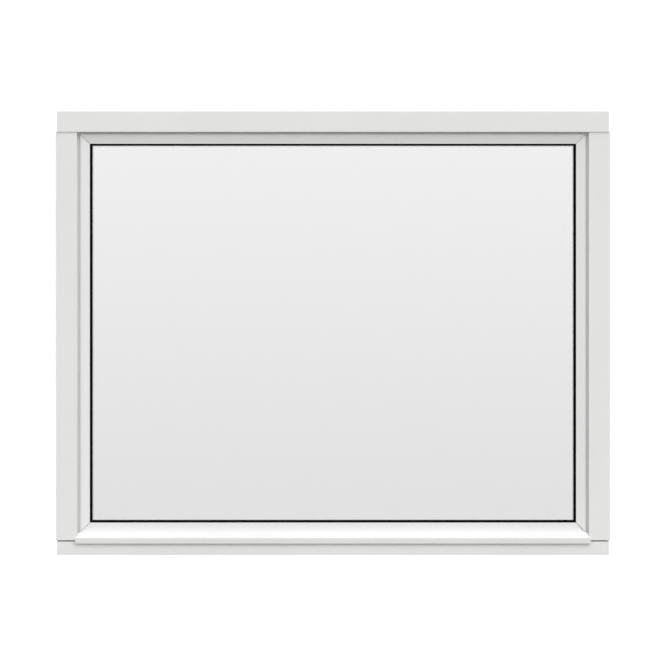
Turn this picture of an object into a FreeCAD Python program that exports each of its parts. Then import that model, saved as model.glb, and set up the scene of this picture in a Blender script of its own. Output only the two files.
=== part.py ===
"""Fixed picture window: an aluminium-clad timber frame round one sealed triple-glazed unit.

X runs to the right as seen from outdoors, Y from outdoors to indoors and Z up. Lengths are
millimetres. The window stands on the underside of its sill, and the origin is in the middle of
that face. A member's section is drawn with two numbers: its inset, measured inwards from the
outer edge of the frame, and its depth y.
"""

import FreeCAD
import Part
import math
import os

Vector = FreeCAD.Vector

# Overall size
frame_width = 1000.0
frame_height = 800.0
timber_depth = 105.0

# Timber frame
timber_arris = 3.0
timber_setback = 3.0
sill_arris = 1.5
groove_margin = 11.0
groove_width = 12.5
groove_depth = 9.0
fixing_radius = 7.0
fixing_from_end = 150.0
fixing_setback = 30.0

# Aluminium cladding
cladding_wall = 2.0
cladding_stand_off = 12.0
cladding_lap = 12.5
cladding_arris = 0.8
head_proud = 2.2
jamb_face = 38.3
head_face = 37.3
sill_face = 23.7
sill_joint = 2.3

# Glazing beads of the head and jambs
jamb_bead_gap = 4.3
head_bead_gap = 2.6
bead_width = 18.5
bead_rise = 8.5
bead_fall = 4.7
bead_nose_radius = 4.4
bead_wall = 2.0
bead_lip = 2.2
bead_leg = 2.0
bead_leg_depth = 3.0
bead_joint = 0.5

# Drip bead of the sill and its end caps
drip_top = 57.7
drip_lip_top = 30.2
drip_lip_height = 10.4
drip_lip_lean = 0.8
drip_reach = 5.2
drip_wall = 2.0
drip_slope = 30.0
drip_cove_radius = 23.0
drip_arris = 0.9
cap_lap = 3.6
cap_arris = 1.2

# Gaskets
gasket_sight = 4.8
head_gasket_sight = 3.4
gasket_cover = 8.0
gasket_tip = 1.2
inner_gasket = 3.0

# Sealed glass unit
glass_setback = 3.0
pane_thickness = 4.0
cavity = 14.0
spacer_height = 6.5
seal_height = 7.5
spacer_show = 0.8
spacer_cover = 1.2
spacer_bond = 0.3
edge_clearance = 5.0
block_length = 100.0
block_from_end = 225.0

# Small play between pieces that are pushed or clipped together
fit_gap = 0.3
shoulder_gap = 0.2

# Depths, from outdoors to indoors
timber_front = -timber_depth / 2
timber_back = timber_depth / 2
jamb_front = timber_front - cladding_stand_off
head_front = jamb_front - head_proud
lip_front = jamb_front - drip_reach
bead_front = timber_front - bead_rise
bead_edge = bead_front + bead_fall
bead_back = bead_edge + bead_lip
leg_tip = timber_front + bead_leg_depth
glass_front = timber_front + glass_setback
glass_back = glass_front + 3 * pane_thickness + 2 * cavity
upstand_front = glass_back + inner_gasket
cladding_tail = timber_front + cladding_lap

# Insets, by side of the frame
SIDES = ("left", "right", "head", "sill")
JAMBS = ("left", "right")
face = {"left": jamb_face, "right": jamb_face, "head": head_face, "sill": sill_face}
timber_edge = {"left": cladding_wall, "right": cladding_wall, "head": cladding_wall, "sill": 0.0}
bead_outer = {side: jamb_face + jamb_bead_gap for side in JAMBS}
bead_outer["head"] = head_face + head_bead_gap
bead_inner = {side: bead_outer[side] + bead_width for side in bead_outer}
bead_inner["sill"] = drip_top
sight = {side: bead_inner[side] + gasket_sight for side in SIDES}
sight["head"] = bead_inner["head"] + head_gasket_sight
timber_sight = {side: sight[side] - timber_setback for side in SIDES}
spacer_sight = {side: sight[side] + spacer_show for side in ("left", "right", "head")}
spacer_sight["sill"] = sight["sill"] - spacer_cover
spacer_back = {side: spacer_sight[side] - spacer_height for side in SIDES}
glass_edge = {side: spacer_back[side] - seal_height for side in SIDES}
rebate_floor = {side: glass_edge[side] - edge_clearance for side in SIDES}


def at(side, inset, y, along):
    """The point of a side's section at an inset and depth, a distance along its run."""
    if side == "left":
        return Vector(inset - frame_width / 2, y, along)
    if side == "right":
        return Vector(frame_width / 2 - inset, y, along)
    if side == "head":
        return Vector(along, y, frame_height - inset)
    return Vector(along, y, inset)


def towards(start, end):
    """The unit direction from one point to another."""
    return (end - start).normalize()


def arc_reaches(points, radii):
    """How far each corner's arc reaches along its two edges, cut down where an edge is too short."""
    count = len(points)
    reaches = []
    for i in range(count):
        turn = towards(points[i], points[i - 1]).getAngle(towards(points[i], points[(i + 1) % count]))
        reaches.append(radii[i] / math.tan(turn / 2))
    share = [1.0] * count
    for i in range(count):
        j = (i + 1) % count
        room = 0.98 * (points[j] - points[i]).Length
        if reaches[i] + reaches[j] > room:
            fits = room / (reaches[i] + reaches[j])
            share[i] = min(share[i], fits)
            share[j] = min(share[j], fits)
    return [reach * part for reach, part in zip(reaches, share)]


def outline(points, radii):
    """Closed flat face through the points, with a tangent arc at each corner that has a radius."""
    count = len(points)
    reaches = arc_reaches(points, radii)
    back = [towards(points[i], points[i - 1]) for i in range(count)]
    ahead = [towards(points[i], points[(i + 1) % count]) for i in range(count)]
    starts = [points[i] + back[i] * reaches[i] for i in range(count)]
    ends = [points[i] + ahead[i] * reaches[i] for i in range(count)]
    edges = []
    for i in range(count):
        if reaches[i] > 0:
            half = back[i].getAngle(ahead[i]) / 2
            radius = reaches[i] * math.tan(half)
            middle = points[i] + (back[i] + ahead[i]).normalize() * (radius / math.sin(half) - radius)
            edges.append(Part.Arc(starts[i], middle, ends[i]).toShape())
        edges.append(Part.makeLine(ends[i], starts[(i + 1) % count]))
    return Part.Face(Part.Wire(edges))


def run(side, corners, start, end):
    """A member: its section, given as (inset, y) or (inset, y, radius) corners, from start to end."""
    points = [at(side, corner[0], corner[1], start) for corner in corners]
    radii = [corner[2] if len(corner) > 2 else 0.0 for corner in corners]
    length = at(side, 0, 0, end) - at(side, 0, 0, start)
    return outline(points, radii).extrude(length)


def block(low, high):
    """A box between two opposite corners."""
    return Part.makeBox(high[0] - low[0], high[1] - low[1], high[2] - low[2], Vector(*low))


def panel(insets, y_from, y_to):
    """A rectangular sheet in the plane of the window, set in from each side."""
    low = (insets["left"] - frame_width / 2, y_from, insets["sill"])
    high = (frame_width / 2 - insets["right"], y_to, frame_height - insets["head"])
    return block(low, high)


def mitre(end, side_line, end_line):
    """The wedge of a corner-to-corner mitre that belongs to the head or sill.

    It holds every point that is nearer to its own line than to the jambs' line of the same section.
    """
    shift = side_line - end_line
    reach = frame_height / 3
    half = frame_width / 2 - shift
    y = -timber_depth
    corners = [at(end, 0, y, -half), at(end, 0, y, half)]
    corners += [at(end, reach, y, half - reach), at(end, reach, y, reach - half)]
    return outline(corners, [0.0] * 4).extrude(Vector(0, 2 * timber_depth, 0))


def timber_section(side):
    """A rebated rail: the body under the glass edge, and the upstand that backs the glass indoors.

    A groove for the room's lining boards is sunk into its indoor face.
    """
    groove_outer = timber_edge[side] + groove_margin
    groove_inner = groove_outer + groove_width
    groove_floor = timber_back - groove_depth
    return [
        (timber_edge[side], timber_front),
        (rebate_floor[side], timber_front),
        (rebate_floor[side], upstand_front),
        (timber_sight[side], upstand_front),
        (timber_sight[side], timber_back, timber_arris),
        (groove_inner, timber_back),
        (groove_inner, groove_floor),
        (groove_outer, groove_floor),
        (groove_outer, timber_back),
        (timber_edge[side], timber_back, sill_arris),
    ]


def timber_frame():
    """Head and sill run through, and the jambs are shouldered between them."""
    half = frame_width / 2 - cladding_wall
    head = run("head", timber_section("head"), -half, half)
    sill = run("sill", timber_section("sill"), -half, half)
    above = head.translated(Vector(0, 0, -shoulder_gap))
    below = sill.translated(Vector(0, 0, shoulder_gap))
    pieces = {"frame_head": head, "frame_sill": sill}
    for side in JAMBS:
        foot = rebate_floor["sill"] + shoulder_gap
        top = frame_height - rebate_floor["head"] - shoulder_gap
        jamb = run(side, timber_section(side), foot, top).cut(above).cut(below)
        for height in (fixing_from_end, frame_height - fixing_from_end):
            start = at(side, 0, timber_front + fixing_setback, height)
            end = at(side, rebate_floor[side] + 1, timber_front + fixing_setback, height)
            jamb = jamb.cut(Part.makeCylinder(fixing_radius, (end - start).Length, start, end - start))
        pieces["frame_jamb_" + side] = jamb
    return pieces


def cladding_section(side, front, tail):
    """A channel of bent-up wall: a face ahead of the timber, a leg on it and a leg round its edge."""
    inner = face[side]
    wall = cladding_wall
    return [
        (0.0, tail),
        (0.0, front, cladding_arris),
        (inner, front, cladding_arris),
        (inner, timber_front),
        (inner - wall, timber_front),
        (inner - wall, front + wall),
        (wall, front + wall),
        (wall, tail),
    ]


def cladding():
    """The head runs over the jambs and stands proud of them. The jambs stop short of the sill."""
    half = frame_width / 2 - cladding_wall
    head = cladding_section("head", head_front, cladding_tail)
    sill = cladding_section("sill", jamb_front, timber_front)
    pieces = {
        "cladding_head": run("head", head, -half, half),
        "cladding_sill": run("sill", sill, -half, half),
    }
    for side in JAMBS:
        section = cladding_section(side, jamb_front, cladding_tail)
        foot = sill_face + sill_joint
        pieces["cladding_jamb_" + side] = run(side, section, foot, frame_height - head_face)
    return pieces


def drip_surface():
    """The drip bead's weathered face: upright by the glass, a cove, a slope and a lip that leans back."""
    rise = math.tan(math.radians(drip_slope))
    return [
        (drip_top, bead_edge),
        (drip_lip_top + rise * (bead_edge - lip_front), bead_edge, drip_cove_radius),
        (drip_lip_top, lip_front, drip_arris),
        (drip_lip_top - drip_lip_height, lip_front + drip_lip_lean, drip_arris),
    ]


def drip_envelope(start, end):
    """Everything under the drip bead's weathered face, filled in."""
    foot = drip_lip_top - drip_lip_height
    corners = [(drip_top, leg_tip + 1)] + drip_surface() + [(foot, leg_tip + 1)]
    return run("sill", corners, start, end)


def drip_bead():
    """One extrusion: weathered skin and lip, a leg down the timber and a foot in the rebate.

    Its upper ends are mitred to the side beads. Below them it fills the width between the jambs.
    """
    half = frame_width / 2 - jamb_face - fit_gap
    under = drip_wall / math.cos(math.radians(drip_slope))
    rise = math.tan(math.radians(drip_slope))
    lip_back = lip_front + drip_wall
    leg_front = timber_front - drip_wall
    foot_low = rebate_floor["sill"] + fit_gap
    foot_high = foot_low + bead_leg
    corners = [(drip_top, bead_back)] + drip_surface() + [
        (drip_lip_top - drip_lip_height, lip_back + drip_lip_lean),
        (drip_lip_top + rise * (lip_back - lip_front) - under, lip_back),
        (drip_lip_top + rise * (leg_front - lip_front) - under, leg_front),
        (sill_face + fit_gap, leg_front),
        (sill_face + fit_gap, timber_front),
        (foot_low, timber_front),
        (foot_low, leg_tip),
        (foot_high, leg_tip),
        (foot_high, bead_back),
    ]
    low = (-half - 1, lip_front - 1, drip_top - bead_width)
    high = (half + 1, timber_back, frame_height)
    corner_notches = block(low, high).cut(mitre("sill", bead_inner["left"], bead_inner["sill"]))
    return run("sill", corners, -half, half).cut(corner_notches)


def end_cap(sign):
    """The plug on the drip bead's nose. It laps over the jamb's face and tapers off up the slope."""
    inner = frame_width / 2 - jamb_face - fit_gap
    outer = inner + fit_gap + cap_lap
    foot = drip_lip_top - drip_lip_height
    back = jamb_front - fit_gap
    crest = drip_lip_top + math.tan(math.radians(drip_slope)) * (back - lip_front)
    front_view = [
        (inner, foot, 0.0),
        (outer, foot, cap_arris),
        (outer, drip_lip_top, cap_arris),
        (inner + fit_gap, crest, 0.0),
        (inner, crest, 0.0),
    ]
    points = [Vector(sign * x, lip_front - 1, z) for x, z, radius in front_view]
    radii = [radius for x, z, radius in front_view]
    plug = outline(points, radii).extrude(Vector(0, back - lip_front + 1, 0))
    return drip_envelope(sign * inner, sign * outer).common(plug)


def bead_section(side):
    """A round-nosed open-backed bead: a face that falls towards the glass, and a leg into the rebate."""
    floor = rebate_floor[side] + fit_gap
    lean = bead_fall / bead_width
    under = bead_front + bead_wall * math.hypot(1, lean)
    hollow = bead_outer[side] + bead_wall
    return [
        (bead_outer[side], timber_front),
        (bead_outer[side], bead_front, bead_nose_radius),
        (bead_inner[side], bead_edge),
        (bead_inner[side], bead_back),
        (floor + bead_leg, bead_back),
        (floor + bead_leg, leg_tip),
        (floor, leg_tip),
        (floor, under + lean * (floor - bead_outer[side])),
        (hollow, under + lean * bead_wall, bead_nose_radius - bead_wall),
        (hollow, timber_front),
    ]


def beads():
    """Head, side and drip beads, mitred to one another with an open hairline between them."""
    half = frame_width / 2
    hairline = bead_joint * math.sqrt(2)
    head_wedge = mitre("head", bead_inner["left"], bead_inner["head"])
    above = mitre("head", bead_inner["left"] - hairline, bead_inner["head"])
    below = mitre("sill", bead_inner["left"] - hairline, bead_inner["sill"])
    pieces = {"bead_head": run("head", bead_section("head"), -half, half).common(head_wedge)}
    for side in JAMBS:
        bar = run(side, bead_section(side), drip_lip_top, frame_height)
        pieces["bead_" + side] = bar.cut(above).cut(below)
    pieces["bead_sill_drip"] = drip_bead()
    pieces["drip_end_cap_left"] = end_cap(-1)
    pieces["drip_end_cap_right"] = end_cap(1)
    return pieces


def outer_gasket_section(side):
    """A wedge between bead and glass, with a lip that feathers out over the glass."""
    return [
        (bead_inner[side], bead_back),
        (sight[side], glass_front - gasket_tip),
        (sight[side], glass_front),
        (sight[side] - gasket_cover, glass_front),
        (sight[side] - gasket_cover, bead_back),
    ]


def inner_gasket_section(side):
    """A flat strip between the glass and the timber upstand."""
    return [
        (timber_sight[side] - gasket_cover, glass_back),
        (timber_sight[side], glass_back),
        (timber_sight[side], upstand_front),
        (timber_sight[side] - gasket_cover, upstand_front),
    ]


def strips(name, section, line):
    """Four strips of one section, mitred at the corners where their lines meet."""
    half = frame_width / 2
    wedges = {end: mitre(end, line["left"], line[end]) for end in ("head", "sill")}
    pieces = {}
    for end, wedge in wedges.items():
        pieces[name + end] = run(end, section(end), -half, half).common(wedge)
    for side in JAMBS:
        strip = run(side, section(side), 0, frame_height)
        pieces[name + side] = strip.cut(wedges["head"]).cut(wedges["sill"])
    return pieces


def bar_section(outer, inner, y_from, y_to):
    """The section of a rectangular bar between two insets of each side."""
    def section(side):
        return [(outer[side], y_from), (inner[side], y_from), (inner[side], y_to), (outer[side], y_to)]
    return section


def glass_unit():
    """Three panes held apart by spacer bars, with a seal round the edge behind each bar."""
    pieces = {}
    step = pane_thickness + cavity
    for i, name in enumerate(("outer", "middle", "inner")):
        front = glass_front + i * step
        pieces["pane_" + name] = panel(glass_edge, front, front + pane_thickness)
    for i, name in enumerate(("outer", "inner")):
        front = glass_front + pane_thickness + i * step
        spacer = bar_section(spacer_back, spacer_sight, front + spacer_bond, front + cavity - spacer_bond)
        seal = bar_section(glass_edge, spacer_back, front, front + cavity)
        pieces.update(strips("spacer_" + name + "_", spacer, spacer_sight))
        pieces.update(strips("edge_seal_" + name + "_", seal, spacer_sight))
    return pieces


def setting_blocks():
    """The two blocks in the sill's rebate that carry the weight of the glass."""
    centre = frame_width / 2 - block_from_end
    pieces = {}
    for side, x in (("left", -centre), ("right", centre)):
        low = (x - block_length / 2, leg_tip + fit_gap, rebate_floor["sill"])
        high = (x + block_length / 2, glass_back, glass_edge["sill"])
        pieces["setting_block_" + side] = block(low, high)
    return pieces


def window():
    """Every piece of the window, by name."""
    pieces = {}
    pieces.update(timber_frame())
    pieces.update(cladding())
    pieces.update(beads())
    pieces.update(strips("outer_gasket_", outer_gasket_section, sight))
    pieces.update(strips("inner_gasket_", inner_gasket_section, timber_sight))
    pieces.update(glass_unit())
    pieces.update(setting_blocks())
    return pieces


os.makedirs("parts", exist_ok=True)
for name, shape in window().items():
    shape.exportStep(os.path.join("parts", name + ".step"))
    volume = shape.Volume / 1000
    print(f"{name:24s} solids {len(shape.Solids)}  volume {volume:9.2f} cm3  valid {shape.isValid()}")
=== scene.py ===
"""Looks of the fixed picture window: coated aluminium outdoors, painted timber indoors, clear glass.

Lengths are metres. X runs to the right as seen from outdoors, Y from outdoors to indoors, Z up.
"""

import math

import bpy
import numpy as np
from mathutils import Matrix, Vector


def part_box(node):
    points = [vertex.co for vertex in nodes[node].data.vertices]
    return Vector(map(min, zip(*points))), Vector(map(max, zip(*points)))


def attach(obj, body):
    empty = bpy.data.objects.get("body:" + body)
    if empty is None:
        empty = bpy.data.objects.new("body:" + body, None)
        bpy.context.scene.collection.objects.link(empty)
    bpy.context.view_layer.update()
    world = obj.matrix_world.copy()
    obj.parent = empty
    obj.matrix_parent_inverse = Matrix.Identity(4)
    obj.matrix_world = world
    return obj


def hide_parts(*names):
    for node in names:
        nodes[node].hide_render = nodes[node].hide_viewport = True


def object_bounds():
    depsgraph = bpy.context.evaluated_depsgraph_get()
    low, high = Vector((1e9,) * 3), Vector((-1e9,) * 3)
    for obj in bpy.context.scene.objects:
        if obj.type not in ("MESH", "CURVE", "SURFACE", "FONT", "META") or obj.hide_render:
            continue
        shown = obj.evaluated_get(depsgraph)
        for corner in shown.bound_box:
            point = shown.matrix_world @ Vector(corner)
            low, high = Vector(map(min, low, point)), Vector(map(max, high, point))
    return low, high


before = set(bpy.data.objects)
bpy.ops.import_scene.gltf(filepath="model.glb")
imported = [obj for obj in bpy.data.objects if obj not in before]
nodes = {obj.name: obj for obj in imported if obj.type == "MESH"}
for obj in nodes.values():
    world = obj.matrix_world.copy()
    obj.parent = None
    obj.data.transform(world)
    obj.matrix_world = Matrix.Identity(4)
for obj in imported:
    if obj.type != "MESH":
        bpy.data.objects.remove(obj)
cad_low, cad_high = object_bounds()
timber_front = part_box("frame_head")[0].y

# The camera stands far off, square to the window, as in the photograph.
IMAGE_PIXELS = 665
WINDOW_PIXELS = 554.3
WINDOW_CENTRE_PIXEL = (332.95, 333.0)
LENS = 400.0
SENSOR = 36.0
CLIP_END = 100.0

# Light: a pale dome, and one soft key lamp high to the right, in front of the window.
KEY_HEIGHT_DEG = 42.0
KEY_SIDE_DEG = 42.0
KEY_SPREAD_DEG = 25.0
KEY_STRENGTH = 0.78

# Brightness of the studio by height of the direction, from straight down at -1 to straight up at 1.
DOME = ((-1.0, 0.43), (-0.07, 0.51), (-0.04, 0.15), (0.04, 0.35), (0.07, 1.14), (0.6, 0.92), (1.0, 1.75))
THROUGH_GLASS = ((-1.0, 1.0), (-0.3, 0.9), (-0.06, 0.77), (0.06, 0.96), (0.3, 1.0), (1.0, 1.1))
GROUND_TINT = (1.0, 0.985, 0.93)
NO_TINT = (1.0, 1.0, 1.0)
BACKGROUND = 1.05

# The floor lies just under the window, and glows.
FLOOR_HALF_WIDTH = 40.0
FLOOR_DROP = 0.0005
FLOOR_GREY = 0.3
FLOOR_GLOW = 0.82

# Finishes: patterns are in cycles to the metre, depths in metres, and pairs run from dark or smooth upwards.
NOISE_SPAN = (0.3, 0.7)
LINES_ALONG_X = (8, 260, 260)
LINES_ALONG_Z = (260, 260, 8)

# Powder coat on the cladding and the beads. The beads' white is a lighter copy of the cladding's: painted
# light that makes up for the shade they sit in between the cladding and the glass.
CLADDING_WHITE = (0.86, 0.862, 0.868)
BEAD_WHITE_PAINTED_LIGHTER = (0.875, 0.877, 0.883)
COAT_SHADES = (0.982, 1.012)
COAT_CLOUDS = 6
COAT_ROUGHNESS = (0.32, 0.42)
COAT_PATCHES = 40
COAT_DIMPLES = 800
COAT_DIMPLE_DEPTH = 0.0001

# Paint on the timber: a full coat where it shows, a thin one on the hidden edges.
FULL_COAT = ((0.82, 0.82, 0.812), (0.86, 0.86, 0.853))
THIN_COAT = ((0.48, 0.46, 0.42), (0.64, 0.63, 0.60))
END_GRAIN = ((0.44, 0.42, 0.38), (0.62, 0.61, 0.58))
GLUE_BROWN = (0.36, 0.34, 0.30)
PAINT_ROUGHNESS = (0.36, 0.5)
GRAIN_DEPTH = 0.00012
BRUSH_MARKS = 30
BRUSH_DEPTH = 0.00008

# What shows through the thin coat: the boards, their growth rings, and the glue between them.
EDGE_MARGIN = 0.0005
BOARD = 0.035
GLUE_LINE = 0.00025
PITH_DEPTH = 0.008
PITH_STEP = 0.011
RING_PITCH = 0.0032
RING_WAVES = 40
RING_WOBBLE = 0.004

# Moulded plastic of the end caps and the setting blocks.
CAP_WHITE = (0.86, 0.86, 0.85)
CAP_ROUGHNESS = (0.4, 0.5)
BLOCK_GREY = (0.10, 0.12, 0.14)
BLOCK_ROUGHNESS = (0.45, 0.55)
PLASTIC_SHADES = (0.97, 1.0)
PLASTIC_CLOUDS = 120
SPARK_TEXTURE = 1500
SPARK_DEPTH = 0.00003

# Rubber of the gaskets and the edge seals.
RUBBER_BLACKS = (0.002, 0.004)
RUBBER_SPECULAR = 0.04
RUBBER_ROUGHNESS = (0.52, 0.66)
RUBBER_BLOOM = 25
DIE_LINE_DEPTH = 0.00006
SEALANT_LUMPS = (90, 90, 90)

# Glass of the panes.
GLASS_TINT = (0.987, 0.989, 0.987)
GLASS_IOR = 1.5
FLOAT_WAVES = (3, 3, 5)
FLOAT_WAVE_DEPTH = 0.00002

# The spacers, with two rows of breather holes in each bar. The holes are not cut: they are painted on as
# dark grey spots of shade.
SPACER_GREYS = (0.91, 0.95)
SPACER_ROUGHNESS = (0.24, 0.36)
SPACER_HAZE = 60
ROLLED_TEXTURE = 900
ROLLED_DEPTH = 0.00001
# The holes' dark grey is painted shade. It stands in for the hollow behind each hole.
HOLE_SHADE_GREY = 0.08
HOLE_ROW = 0.003
HOLE_PITCH = 0.004
HOLE_RADIUS = 0.0004

# Rounding of the drawn sheet and extrusions: bends, raw edges and sawn ends.
SHEET_BEND = 0.0005
RAW_EDGE = 0.0003
SAWN_END = 0.0001
ARC_STEPS = 8
END_STEPS = 4

# Sections, where the frame's boxes don't give them.
WALL = 0.002
PLAY = 0.0003
BEAD_NOSE = 0.0044
BEAD_FALL = 0.0047
BEAD_LIP = 0.0022
LEG_FROM_GLASS = 0.0047
DRIP_LIP_HEIGHT = 0.0104
DRIP_LIP_LEAN = 0.0008
DRIP_SLOPE = math.tan(math.radians(30.0))
DRIP_COVE = 0.023
DRIP_ARRIS = 0.0009
NOTCH_BAND = 0.00005
CAP_CORNER = 0.0034
CAP_ARRIS = 0.0012
CAP_ROUND = 0.0006
CAP_EDGE = 0.0001
CAP_TIP = 0.0003
GASKET_TIP = 0.0012
GASKET_DIP = 0.0005
GASKET_HOLLOW = 0.005
GASKET_ROUND = 0.0005
INNER_GASKET_ROUND = 0.0012


def even(value):
    """One value for all three axes or colours: an even pattern or a grey."""
    return (value, value, value)


def scaled(colour, shares):
    """A pair of shades of one colour."""
    return [tuple(share * part for part in colour) for share in shares]


class Finish:
    """A node material around one Principled shader, with a few short ways to add to it."""

    def __init__(self, name, colour):
        self.material = bpy.data.materials.new(name)
        self.material.use_nodes = True
        self.tree = self.material.node_tree
        self.shader = self.tree.nodes["Principled BSDF"]
        self.set("Base Color", (*colour, 1.0))
        self.coordinates = self.tree.nodes.new("ShaderNodeTexCoord")

    def set(self, socket, value):
        """Gives one of the shader's own sockets a constant."""
        self.shader.inputs[socket].default_value = value

    def link(self, source, target):
        """Joins two sockets."""
        self.tree.links.new(source, target)

    def stretched(self, cycles):
        """Object coordinates multiplied by the cycles to the metre along each axis."""
        mapping = self.tree.nodes.new("ShaderNodeMapping")
        mapping.inputs["Scale"].default_value = cycles
        self.link(self.coordinates.outputs["Object"], mapping.inputs["Vector"])
        return mapping.outputs["Vector"]

    def noise(self, cycles, detail, roughness=0.5):
        """Cloudy noise with so many cycles to the metre along X, Y and Z."""
        texture = self.tree.nodes.new("ShaderNodeTexNoise")
        texture.inputs["Scale"].default_value = 1.0
        texture.inputs["Detail"].default_value = detail
        texture.inputs["Roughness"].default_value = roughness
        self.link(self.stretched(cycles), texture.inputs["Vector"])
        return texture.outputs["Fac"]

    def rings(self, radius, pitch):
        """Noise that changes only with the radius, about once in each pitch."""
        texture = self.tree.nodes.new("ShaderNodeTexNoise")
        texture.noise_dimensions = "1D"
        texture.inputs["Scale"].default_value = 1 / pitch
        texture.inputs["Detail"].default_value = 1.0
        self.link(radius, texture.inputs["W"])
        return texture.outputs["Fac"]

    def spread(self, source, low, high):
        """Maps the span in which most noise lies onto a range of values."""
        node = self.tree.nodes.new("ShaderNodeMapRange")
        node.inputs["From Min"].default_value = NOISE_SPAN[0]
        node.inputs["From Max"].default_value = NOISE_SPAN[1]
        node.inputs["To Min"].default_value = low
        node.inputs["To Max"].default_value = high
        self.link(source, node.inputs["Value"])
        return node.outputs["Result"]

    def math(self, operation, *operands):
        """One arithmetic step on sockets and numbers."""
        node = self.tree.nodes.new("ShaderNodeMath")
        node.operation = operation
        for socket, operand in zip(node.inputs, operands):
            if isinstance(operand, (int, float)):
                socket.default_value = operand
            else:
                self.link(operand, socket)
        return node.outputs["Value"]

    def hypot(self, a, b):
        """The length of a right triangle's long side."""
        return self.math("SQRT", self.math("ADD", self.math("POWER", a, 2), self.math("POWER", b, 2)))

    def axis(self, name):
        """One of the object coordinates, in metres."""
        node = self.tree.nodes.new("ShaderNodeSeparateXYZ")
        self.link(self.coordinates.outputs["Object"], node.inputs["Vector"])
        return node.outputs[name]

    def mix(self, factor, a, b):
        """A colour between two others, each a colour or a socket."""
        node = self.tree.nodes.new("ShaderNodeMix")
        node.data_type = "RGBA"
        self.link(factor, node.inputs["Factor"])
        for socket, colour in ((node.inputs["A"], a), (node.inputs["B"], b)):
            if isinstance(colour, tuple):
                socket.default_value = (*colour, 1.0)
            else:
                self.link(colour, socket)
        return node.outputs["Result"]

    def shades(self, source, pair):
        """A colour that follows noise between a dark and a light shade."""
        dark, light = pair
        return self.mix(self.spread(source, 0.0, 1.0), dark, light)

    def paint(self, colour):
        """Gives the surface a colour from a socket."""
        self.link(colour, self.shader.inputs["Base Color"])

    def polish(self, source, pair):
        """Varies the roughness between two values."""
        low, high = pair
        self.link(self.spread(source, low, high), self.shader.inputs["Roughness"])

    def relief(self, *layers):
        """Adds bump layers, each a height texture and its depth in metres."""
        normal = None
        for source, depth in layers:
            node = self.tree.nodes.new("ShaderNodeBump")
            node.inputs["Strength"].default_value = 1.0
            node.inputs["Distance"].default_value = depth
            self.link(source, node.inputs["Height"])
            if normal is not None:
                self.link(normal, node.inputs["Normal"])
            normal = node.outputs["Normal"]
        self.link(normal, self.shader.inputs["Normal"])


def powder_coat(name, white):
    """White powder coat: satin, with the fine dimples of the baked powder and faint clouding."""
    finish = Finish(name, white)
    clouds = finish.noise(even(COAT_CLOUDS), detail=4.0)
    patches = finish.noise(even(COAT_PATCHES), detail=3.0)
    dimples = finish.noise(even(COAT_DIMPLES), detail=2.0)
    finish.paint(finish.shades(clouds, scaled(white, COAT_SHADES)))
    finish.polish(patches, COAT_ROUGHNESS)
    finish.relief((dimples, COAT_DIMPLE_DEPTH))
    return finish.material


def painted_timber(name, grain, sawn_ends):
    """White paint on planed pine, glued up from boards. The grain shows as faint ridges along the member.

    The outer edges, which the wall hides, have only a thin coat. There the grain and the glue lines show
    through, and on sawn ends the growth rings of each board, which are noise of the distance to its pith.
    """
    finish = Finish(name, FULL_COAT[1])
    ridges = finish.noise(grain, detail=5.0, roughness=0.6)
    brush = finish.noise(even(BRUSH_MARKS), detail=3.0)
    low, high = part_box("frame_sill")[0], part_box("frame_head")[1]
    beside = finish.math("GREATER_THAN", finish.math("ABSOLUTE", finish.axis("X")), high.x - EDGE_MARGIN)
    above = finish.math("GREATER_THAN", finish.axis("Z"), high.z - EDGE_MARGIN)
    below = finish.math("LESS_THAN", finish.axis("Z"), low.z + EDGE_MARGIN)
    hidden = finish.math("MAXIMUM", beside, finish.math("MAXIMUM", above, below))
    from_front = finish.math("SUBTRACT", finish.axis("Y"), low.y)
    glue = finish.math("LESS_THAN", finish.math("PINGPONG", from_front, BOARD / 2), GLUE_LINE)
    full_coat = finish.shades(ridges, FULL_COAT)
    thin_coat = finish.shades(ridges, THIN_COAT)
    if sawn_ends:
        from_edge = finish.math("PINGPONG", finish.axis("Z"), high.z / 2)
        board = finish.math("FLOOR", finish.math("DIVIDE", from_front, BOARD))
        pith_depth = finish.math("MULTIPLY_ADD", board, PITH_STEP, PITH_DEPTH)
        across = finish.math("PINGPONG", from_front, BOARD)
        to_pith = finish.hypot(across, finish.math("ADD", from_edge, pith_depth))
        wobble = finish.math("MULTIPLY", finish.noise(even(RING_WAVES), detail=2.0), RING_WOBBLE)
        rings = finish.rings(finish.math("ADD", to_pith, wobble), RING_PITCH)
        thin_coat = finish.mix(beside, thin_coat, finish.shades(rings, END_GRAIN))
    thin_coat = finish.mix(glue, thin_coat, GLUE_BROWN)
    finish.paint(finish.mix(hidden, full_coat, thin_coat))
    finish.polish(brush, PAINT_ROUGHNESS)
    finish.relief((ridges, GRAIN_DEPTH), (brush, BRUSH_DEPTH))
    return finish.material


def moulded_plastic(name, colour, roughness):
    """Moulded plastic with a fine even spark texture."""
    finish = Finish(name, colour)
    clouds = finish.noise(even(PLASTIC_CLOUDS), detail=2.0)
    spark = finish.noise(even(SPARK_TEXTURE), detail=2.0)
    finish.paint(finish.shades(clouds, scaled(colour, PLASTIC_SHADES)))
    finish.polish(clouds, roughness)
    finish.relief((spark, SPARK_DEPTH))
    return finish.material


def rubber(name, lines):
    """Black rubber with a faint bloom, and the fine lines that its die leaves."""
    dark, light = (even(grey) for grey in RUBBER_BLACKS)
    finish = Finish(name, light)
    finish.set("Specular IOR Level", RUBBER_SPECULAR)
    bloom = finish.noise(even(RUBBER_BLOOM), detail=4.0)
    finish.paint(finish.shades(bloom, (dark, light)))
    finish.polish(bloom, RUBBER_ROUGHNESS)
    finish.relief((finish.noise(lines, detail=3.0), DIE_LINE_DEPTH))
    return finish.material


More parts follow.
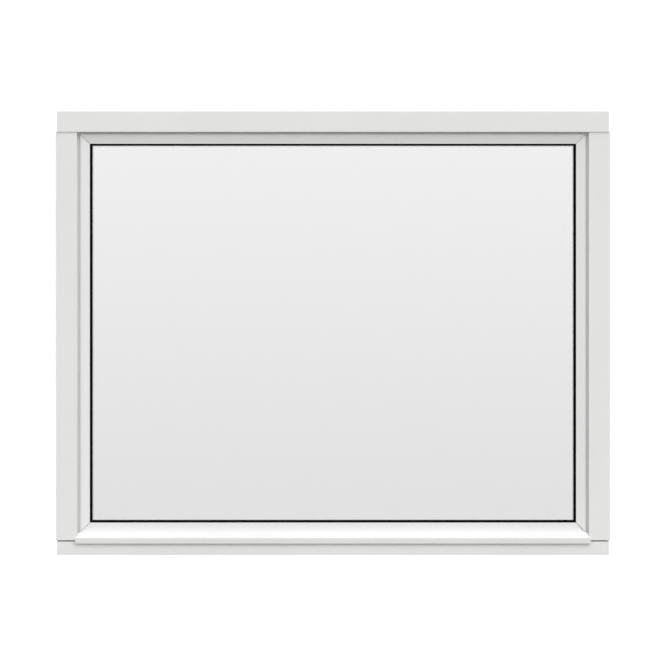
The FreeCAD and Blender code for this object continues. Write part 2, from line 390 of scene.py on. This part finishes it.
def clear_glass(name):
    """Clear float glass with a trace of green and the faint waviness of the float bath."""
    finish = Finish(name, GLASS_TINT)
    finish.set("Roughness", 0.0)
    finish.set("Transmission Weight", 1.0)
    finish.set("IOR", GLASS_IOR)
    finish.relief((finish.noise(FLOAT_WAVES, detail=1.0), FLOAT_WAVE_DEPTH))
    return finish.material


def pierced_strip(name, along):
    """Bright rolled aluminium with a soft sheen, with two rows of breather holes in each bar.

    The holes are not cut. Each is a dark grey spot of painted shade, lying where the distance to the nearest
    point of a lattice is under the hole's radius.
    """
    dark, light = (even(grey) for grey in SPACER_GREYS)
    finish = Finish(name, light)
    finish.set("Metallic", 1.0)
    outer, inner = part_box("spacer_outer_left"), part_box("spacer_inner_left")
    middle = (outer[0].y + outer[1].y) / 2
    bar_pitch = inner[0].y - outer[0].y
    from_middle = finish.math("PINGPONG", finish.math("SUBTRACT", finish.axis("Y"), middle), bar_pitch / 2)
    across = finish.math("SUBTRACT", from_middle, HOLE_ROW)
    beside = finish.math("SUBTRACT", finish.math("PINGPONG", finish.axis(along), HOLE_PITCH), HOLE_PITCH / 2)
    hole = finish.math("LESS_THAN", finish.hypot(across, beside), HOLE_RADIUS)
    haze = finish.noise(even(SPACER_HAZE), detail=3.0)
    texture = finish.noise(even(ROLLED_TEXTURE), detail=2.0)
    # Painted shade: the holes are dark grey spots on the strip, not openings.
    finish.paint(finish.mix(hole, finish.shades(haze, (dark, light)), even(HOLE_SHADE_GREY)))
    finish.polish(haze, SPACER_ROUGHNESS)
    finish.relief((texture, ROLLED_DEPTH))
    return finish.material


cladding_coat = powder_coat("cladding_powder_coat", CLADDING_WHITE)
# The head and side beads get the lighter copy of the coat, which is painted light against the shade of their
# recess.
bead_coat_painted_lighter = powder_coat("bead_powder_coat_painted_lighter", BEAD_WHITE_PAINTED_LIGHTER)
timber_across = painted_timber("painted_timber_across", LINES_ALONG_X, True)
timber_upright = painted_timber("painted_timber_upright", LINES_ALONG_Z, False)
cap_plastic = moulded_plastic("end_cap_plastic", CAP_WHITE, CAP_ROUGHNESS)
block_plastic = moulded_plastic("setting_block_plastic", BLOCK_GREY, BLOCK_ROUGHNESS)
spacer_across = pierced_strip("spacer_strip_across", "X")
spacer_upright = pierced_strip("spacer_strip_upright", "Z")
rubber_across = rubber("rubber_across", LINES_ALONG_X)
rubber_upright = rubber("rubber_upright", LINES_ALONG_Z)
sealant = rubber("edge_sealant", SEALANT_LUMPS)
glass = clear_glass("clear_float_glass")


def finish_for(node):
    """The material of a node, by what its name begins and ends with."""
    upright = node.endswith(("left", "right"))
    if node.startswith("frame_"):
        return timber_upright if upright else timber_across
    if node.startswith("cladding_") or node == "bead_sill_drip":
        return cladding_coat
    if node.startswith("bead_"):
        return bead_coat_painted_lighter
    if node.startswith("drip_end_cap"):
        return cap_plastic
    if "gasket" in node:
        return rubber_upright if upright else rubber_across
    if node.startswith("spacer"):
        return spacer_upright if upright else spacer_across
    if node.startswith("edge_seal"):
        return sealant
    if node.startswith("pane"):
        return glass
    return block_plastic


class Run:
    """Where a node lies along its side of the frame.

    Insets are measured inwards from the frame's outer edge, and the run goes from start to end.
    """

    def __init__(self, node, side):
        low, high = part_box(node)
        self.side = side
        self.front, self.back = low.y, high.y
        self.start, self.end = (low.z, high.z) if side in ("left", "right") else (low.x, high.x)
        if side == "left":
            self.outer, self.inner = low.x - cad_low.x, high.x - cad_low.x
        elif side == "right":
            self.outer, self.inner = cad_high.x - high.x, cad_high.x - low.x
        elif side == "head":
            self.outer, self.inner = cad_high.z - high.z, cad_high.z - low.z
        else:
            self.outer, self.inner = low.z - cad_low.z, high.z - cad_low.z

    def place(self, inset, y, along):
        """Turns insets, depths and distances along the run into points."""
        if self.side == "left":
            return np.stack([cad_low.x + inset, y, along], axis=-1)
        if self.side == "right":
            return np.stack([cad_high.x - inset, y, along], axis=-1)
        if self.side == "head":
            return np.stack([along, y, cad_high.z - inset], axis=-1)
        return np.stack([along, y, cad_low.z + inset], axis=-1)

    def square(self):
        """Ends cut square: the start and end of the run at each inset."""
        return (lambda inset: np.full_like(inset, self.start)), (lambda inset: np.full_like(inset, self.end))

    def mitred(self):
        """Ends cut at 45 degrees: the run shortens at both ends by as much as the inset grows."""
        return (lambda inset: self.start + inset - self.outer), (lambda inset: self.end - inset + self.outer)


def unit(vectors):
    """Vectors of length 1 in the same directions."""
    return vectors / np.linalg.norm(vectors, axis=-1, keepdims=True)


def rounded(corners):
    """A closed outline through corners, each two coordinates and a radius, with a tangent arc at each.

    A point of an arc is its centre plus the spoke to the arc's start, turned by a share of the arc's angle.
    """
    points = np.array([corner[:2] for corner in corners])
    shares = np.linspace(0.0, 1.0, ARC_STEPS + 1)
    arcs = []
    for point, before, after, corner in zip(points, np.roll(points, 1, 0), np.roll(points, -1, 0), corners):
        back, ahead = unit(before - point), unit(after - point)
        half = math.acos(back @ ahead) / 2
        centre = point + unit(back + ahead) * corner[2] / math.sin(half)
        spoke = point + back * corner[2] / math.tan(half) - centre
        bend = back[1] * ahead[0] - back[0] * ahead[1]
        turn = shares * math.copysign(math.pi - 2 * half, bend)
        across = np.array([-spoke[1], spoke[0]])
        arcs.append(centre + np.outer(np.cos(turn), spoke) + np.outer(np.sin(turn), across))
    loop = np.concatenate(arcs)
    x, y = loop.T
    area = np.sum(x * np.roll(y, -1) - y * np.roll(x, -1))
    return loop if area > 0 else loop[::-1]


def cut_across(loop, level):
    """The section with two points added wherever it crosses a level, one just above and one just below."""
    for height in (level - NOTCH_BAND, level + NOTCH_BAND):
        after = np.roll(loop, -1, 0)
        i = np.flatnonzero((loop[:, 0] - height) * (after[:, 0] - height) < 0)
        share = (height - loop[i, 0]) / (after[i, 0] - loop[i, 0])
        loop = np.insert(loop, i + 1, loop[i] + share[:, None] * (after[i] - loop[i]), axis=0)
    return loop


def end_faces(ring, notch):
    """The faces that close an end. A notched end has one above the notch, one below and a step between."""
    if notch is None:
        return [ring]
    first = np.flatnonzero(notch & ~np.roll(notch, 1))[0]
    ring, notch = np.roll(ring, -first), np.roll(notch, -first)
    upper, lower = ring[notch], ring[~notch]
    return [upper, lower, np.array([upper[-1], lower[0], lower[-1], upper[0]])]


def area_normals(mesh):
    """For each vertex, the mean of the normals of the faces round it, weighed by their areas."""
    count = len(mesh.polygons)
    normal, area, corners = np.empty(3 * count), np.empty(count), np.empty(count, dtype=int)
    mesh.polygons.foreach_get("normal", normal)
    mesh.polygons.foreach_get("area", area)
    mesh.polygons.foreach_get("loop_total", corners)
    vertex = np.empty(len(mesh.loops), dtype=int)
    mesh.loops.foreach_get("vertex_index", vertex)
    total = np.zeros((len(mesh.vertices), 3))
    np.add.at(total, vertex, np.repeat(normal.reshape(-1, 3) * area[:, None], corners, axis=0))
    return unit(total)


def skinned(node, points, turned, notch=None):
    """A closed skin over rings of points, one ring to a station, as the piece that stands for a node.

    A turned skin has its faces the other way round. The normals keep flat faces flat beside rounded edges.
    """
    stations, count = points.shape[:2]
    index = np.arange(stations * count).reshape(stations, count)
    ahead = np.roll(index, -1, 1)
    quads = np.stack([index[:-1], ahead[:-1], ahead[1:], index[1:]], axis=-1).reshape(-1, 4)
    faces = list(quads) + [face[::-1] for face in end_faces(index[0], notch)] + end_faces(index[-1], notch)
    if turned:
        faces = [face[::-1] for face in faces]
    mesh = bpy.data.meshes.new(node + "_drawn")
    mesh.from_pydata(points.reshape(-1, 3).tolist(), [], [face.tolist() for face in faces])
    mesh.shade_smooth()
    mesh.normals_split_custom_set_from_vertices(area_normals(mesh).tolist())
    mesh.materials.append(finish_for(node))
    piece = bpy.data.objects.new(node + "_drawn", mesh)
    bpy.context.scene.collection.objects.link(piece)
    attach(piece, "root")
    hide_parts(node)


def carried(node, run, loop, ends, notch=None):
    """A section carried along its run, with the edge of each sawn end rounded over.

    At angle a of the end's quarter round the section is smaller all round by r (1 - sin a), and lies
    r (1 - cos a) in from the end.
    """
    edge = unit(np.roll(loop, -1, 0) - loop)
    outward = np.stack([edge[:, 1], -edge[:, 0]], axis=-1)
    outward = unit(outward + np.roll(outward, 1, 0))
    angle = np.linspace(0.0, math.pi / 2, END_STEPS + 1)[:, None]
    shrink = SAWN_END * (1 - np.sin(angle))
    setback = SAWN_END * (1 - np.cos(angle))
    section = loop - shrink[..., None] * outward
    inset, y = section[..., 0], section[..., 1]
    start, end = ends
    near = run.place(inset, y, start(inset) + setback)
    far = run.place(inset, y, end(inset) - setback)[::-1]
    skinned(node, np.concatenate([near, far]), run.side in ("right", "sill"), notch)


def cladding(node, side):
    """Folded sheet: a face ahead of the timber, a leg that stands on it and a leg round its edge."""
    run = Run(node, side)
    fold = run.front + WALL
    loop = rounded([
        (run.outer, run.back, RAW_EDGE),
        (run.outer, run.front, SHEET_BEND),
        (run.inner, run.front, SHEET_BEND),
        (run.inner, timber_front, RAW_EDGE),
        (run.inner - WALL, timber_front, RAW_EDGE),
        (run.inner - WALL, fold, RAW_EDGE),
        (run.outer + WALL, fold, RAW_EDGE),
        (run.outer + WALL, run.back, RAW_EDGE),
    ])
    carried(node, run, loop, run.square())


def bead(node, side):
    """Extruded bead: a rounded nose, a face that falls towards the glass, and a leg into the rebate."""
    run = Run(node, side)
    edge = run.front + BEAD_FALL
    lean = BEAD_FALL / (run.inner - run.outer)
    under = run.front + WALL * math.hypot(1.0, lean)
    leg = Run("pane_outer", side).outer - LEG_FROM_GLASS
    loop = rounded([
        (run.outer, timber_front, RAW_EDGE),
        (run.outer, run.front, BEAD_NOSE),
        (run.inner, edge, RAW_EDGE),
        (run.inner, edge + BEAD_LIP, RAW_EDGE),
        (leg + WALL, edge + BEAD_LIP, RAW_EDGE),
        (leg + WALL, run.back, RAW_EDGE),
        (leg, run.back, RAW_EDGE),
        (leg, under + lean * (leg - run.outer), RAW_EDGE),
        (run.outer + WALL, under + lean * WALL, BEAD_NOSE - WALL),
        (run.outer + WALL, timber_front, RAW_EDGE),
    ])
    carried(node, run, loop, run.mitred())


def drip_bead(node):
    """Extruded drip bead: an upright face, a cove, a slope and a leaning lip, with a leg and a foot behind.

    It fills the width between the jambs. Above the notch its ends are mitred to the side beads.
    """
    run = Run(node, "sill")
    side_bead = Run("bead_left", "left")
    edge = Run("bead_head", "head").front + BEAD_FALL
    lip_foot = run.outer
    lip_top = lip_foot + DRIP_LIP_HEIGHT
    under = WALL * math.hypot(1.0, DRIP_SLOPE)
    lip_back = run.front + WALL
    leg_front = timber_front - WALL
    leg_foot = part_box("cladding_sill")[1].z + PLAY
    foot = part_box("setting_block_left")[0].z + PLAY
    loop = rounded([
        (run.inner, edge + BEAD_LIP, RAW_EDGE),
        (run.inner, edge, RAW_EDGE),
        (lip_top + DRIP_SLOPE * (edge - run.front), edge, DRIP_COVE),
        (lip_top, run.front, DRIP_ARRIS),
        (lip_foot, run.front + DRIP_LIP_LEAN, DRIP_ARRIS),
        (lip_foot, lip_back + DRIP_LIP_LEAN, RAW_EDGE),
        (lip_top + DRIP_SLOPE * WALL - under, lip_back, RAW_EDGE),
        (lip_top + DRIP_SLOPE * (leg_front - run.front) - under, leg_front, RAW_EDGE),
        (leg_foot, leg_front, RAW_EDGE),
        (leg_foot, timber_front, RAW_EDGE),
        (foot, timber_front, RAW_EDGE),
        (foot, run.back, RAW_EDGE),
        (foot + WALL, run.back, RAW_EDGE),
        (foot + WALL, edge + BEAD_LIP, RAW_EDGE),
    ])
    notch_floor = run.inner - (side_bead.inner - side_bead.outer)
    loop = cut_across(loop, notch_floor)
    inner_end = cad_high.x - side_bead.inner

    def half_length(inset):
        """Half the bead's length at each inset."""
        return np.where(inset > notch_floor, inner_end + run.inner - inset, run.end)

    ends = (lambda inset: -half_length(inset)), half_length
    carried(node, run, loop, ends, notch=loop[:, 0] > notch_floor)


def end_cap(node, turned):
    """Moulded plug on the drip bead's nose, which laps over the jamb.

    Its section at each height is a rectangle with a quarter round at each corner. It reaches sideways to
    an edge that is rounded off below and tapers above, and forward to the drip bead's own face.
    """
    low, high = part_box(node)
    inner, outer = sorted((abs(low.x), abs(high.x)))
    foot, back = low.z, high.y
    tip = back - CAP_TIP
    crest = high.z - CAP_TIP * DRIP_SLOPE
    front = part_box("bead_sill_drip")[0].y
    lip_top = foot + DRIP_LIP_HEIGHT
    edge = rounded([
        (inner, foot, 0.0),
        (outer, foot, CAP_CORNER),
        (outer, lip_top, CAP_ARRIS),
        (inner + PLAY, crest, 0.0),
        (inner, crest, 0.0),
    ])
    face = rounded([
        (back, foot, 0.0),
        (front + DRIP_LIP_LEAN, foot, DRIP_ARRIS),
        (front, lip_top, DRIP_ARRIS),
        (tip, crest, 0.0),
        (back, crest, 0.0),
    ])
    edge = edge[edge[:, 0] > inner]
    face = face[face[:, 0] < back]
    edge = edge[np.argsort(edge[:, 1])]
    face = face[np.argsort(face[:, 1])]
    height = np.unique(np.concatenate([edge[:, 1], face[:, 1]]))[:, None]
    reach = np.interp(height, edge[:, 1], edge[:, 0])
    depth = np.interp(height, face[:, 1], face[:, 0])
    at_bead = np.full_like(height, inner)
    at_jamb = np.full_like(height, back)
    crisp = np.full_like(height, CAP_EDGE)
    radius = np.hstack([crisp, crisp, np.minimum(CAP_ROUND, (back - depth) / 2), crisp])
    centre_x = np.hstack([at_bead, at_bead, reach, reach]) + radius * (1, 1, -1, -1)
    centre_y = np.hstack([at_jamb, depth, depth, at_jamb]) + radius * (-1, 1, 1, -1)
    arc_starts = np.radians([[90], [180], [270], [360]])
    turn = arc_starts + np.linspace(0.0, math.pi / 2, ARC_STEPS + 1)
    x = centre_x[..., None] + radius[..., None] * np.cos(turn)
    y = centre_y[..., None] + radius[..., None] * np.sin(turn)
    z = np.broadcast_to(height[..., None], x.shape)
    points = np.stack([-x if turned else x, y, z], axis=-1)
    skinned(node, points.reshape(len(height), -1, 3), turned)


def outer_gasket(node, side):
    """Rubber wedge between bead and glass. Its face dips a little, and its lip is rounded."""
    run = Run(node, side)
    cover = Run("bead_sill_drip" if side == "sill" else "bead_" + side, side).inner
    lip = run.back - GASKET_TIP
    loop = rounded([
        (cover, run.front, GASKET_ROUND),
        ((cover + run.inner) / 2, (run.front + lip) / 2 + GASKET_DIP, GASKET_HOLLOW),
        (run.inner, lip, GASKET_ROUND),
        (run.inner, run.back, RAW_EDGE),
        (run.outer, run.back, RAW_EDGE),
        (run.outer, run.front, RAW_EDGE),
    ])
    carried(node, run, loop, run.mitred())


def inner_gasket(node, side):
    """Rubber strip between glass and timber, with a rounded edge to the room."""
    run = Run(node, side)
    loop = rounded([
        (run.outer, run.front, RAW_EDGE),
        (run.inner, run.front, INNER_GASKET_ROUND),
        (run.inner, run.back, INNER_GASKET_ROUND),
        (run.outer, run.back, RAW_EDGE),
    ])
    carried(node, run, loop, run.mitred())


def key_lamp():
    """A far soft lamp, so that every face of a kind is lit alike."""
    data = bpy.data.lights.new("key_lamp", "SUN")
    data.energy = KEY_STRENGTH
    data.angle = math.radians(KEY_SPREAD_DEG)
    lamp = bpy.data.objects.new("key_lamp", data)
    height = math.radians(KEY_HEIGHT_DEG)
    side = math.radians(KEY_SIDE_DEG)
    level = math.cos(height)
    towards = Vector((level * math.sin(side), -level * math.cos(side), math.sin(height)))
    lamp.rotation_euler = towards.to_track_quat("Z", "Y").to_euler()
    bpy.context.scene.collection.objects.link(lamp)


def studio_world():
    """A dome that is bright above and dim below, with a dark band at the horizon that the glass mirrors.

    What shows through the glass is an even pale ground from either side. The camera itself sees white.
    """
    world = bpy.data.worlds.new("studio")
    bpy.context.scene.world = world
    world.use_nodes = True
    tree = world.node_tree
    tree.nodes.clear()
    add = tree.nodes.new
    link = tree.links.new
    coordinates = add("ShaderNodeTexCoord")
    path = add("ShaderNodeLightPath")
    axes = add("ShaderNodeSeparateXYZ")
    link(coordinates.outputs["Generated"], axes.inputs["Vector"])
    rescale = add("ShaderNodeMapRange")
    rescale.inputs["From Min"].default_value = -1.0
    rescale.inputs["From Max"].default_value = 1.0
    link(axes.outputs["Z"], rescale.inputs["Value"])

    def ramp(stops, ground):
        """Brightness by height, with a tint below the horizon."""
        node = add("ShaderNodeValToRGB")
        node.color_ramp.interpolation = "EASE"
        elements = node.color_ramp.elements
        horizon = 0.5
        while len(elements) < len(stops):
            elements.new(horizon)
        for element, (height, level) in zip(elements, stops):
            element.position = horizon + height / 2
            tint = ground if height < 0 else NO_TINT
            element.color = (*(level * share for share in tint), 1.0)
        link(rescale.outputs["Result"], node.inputs["Fac"])
        return node.outputs["Color"]

    def choose(ray, others, these):
        """One colour for rays of a kind, and another for all others."""
        node = add("ShaderNodeMix")
        node.data_type = "RGBA"
        link(path.outputs[ray], node.inputs["Factor"])
        link(others, node.inputs["A"])
        link(these, node.inputs["B"])
        return node.outputs["Result"]

    white = add("ShaderNodeRGB")
    white.outputs["Color"].default_value = (*even(BACKGROUND), 1.0)
    light = choose("Is Transmission Ray", ramp(DOME, GROUND_TINT), ramp(THROUGH_GLASS, NO_TINT))
    background = add("ShaderNodeBackground")
    link(choose("Is Camera Ray", light, white.outputs["Color"]), background.inputs["Color"])
    output = add("ShaderNodeOutputWorld")
    link(background.outputs["Background"], output.inputs["Surface"])


def studio_floor():
    """A pale floor that glows a little, so that only the contact shadow shows on it."""
    far = FLOOR_HALF_WIDTH
    level = cad_low.z - FLOOR_DROP
    mesh = bpy.data.meshes.new("floor")
    corners = [(-far, -far, level), (far, -far, level), (far, far, level), (-far, far, level)]
    mesh.from_pydata(corners, [], [(0, 1, 2, 3)])
    floor = bpy.data.objects.new("floor", mesh)
    bpy.context.scene.collection.objects.link(floor)
    finish = Finish("pale_floor", even(FLOOR_GREY))
    finish.set("Roughness", 1.0)
    finish.set("Specular IOR Level", 0.0)
    finish.set("Emission Color", (1.0, 1.0, 1.0, 1.0))
    finish.set("Emission Strength", FLOOR_GLOW)
    mesh.materials.append(finish.material)
    floor.visible_diffuse = False
    floor.visible_glossy = False
    floor.visible_transmission = False


def photo_camera():
    """Square to the window, at the height of its middle, with the photograph's framing."""
    pixel = (cad_high.x - cad_low.x) / WINDOW_PIXELS
    face_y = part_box("cladding_jamb_left")[0].y
    distance = IMAGE_PIXELS * pixel * LENS / SENSOR
    middle = IMAGE_PIXELS / 2
    data = bpy.data.cameras.new("camera")
    data.lens = LENS
    data.sensor_width = SENSOR
    data.clip_end = CLIP_END
    camera = bpy.data.objects.new("camera", data)
    camera.location = (
        (cad_low.x + cad_high.x) / 2 - (WINDOW_CENTRE_PIXEL[0] - middle) * pixel,
        face_y - distance,
        (cad_low.z + cad_high.z) / 2 + (WINDOW_CENTRE_PIXEL[1] - middle) * pixel,
    )
    camera.rotation_euler = (math.pi / 2, 0, 0)
    bpy.context.scene.collection.objects.link(camera)
    bpy.context.scene.camera = camera


for name, node in nodes.items():
    node.data.materials.clear()
    node.data.materials.append(finish_for(name))

for side in ("head", "sill", "left", "right"):
    cladding("cladding_" + side if side in ("head", "sill") else "cladding_jamb_" + side, side)
    outer_gasket("outer_gasket_" + side, side)
    inner_gasket("inner_gasket_" + side, side)
for side in ("head", "left", "right"):
    bead("bead_" + side, side)
drip_bead("bead_sill_drip")
end_cap("drip_end_cap_left", True)
end_cap("drip_end_cap_right", False)

key_lamp()
studio_world()
studio_floor()
photo_camera()
bpy.context.scene.view_settings.view_transform = "Standard"
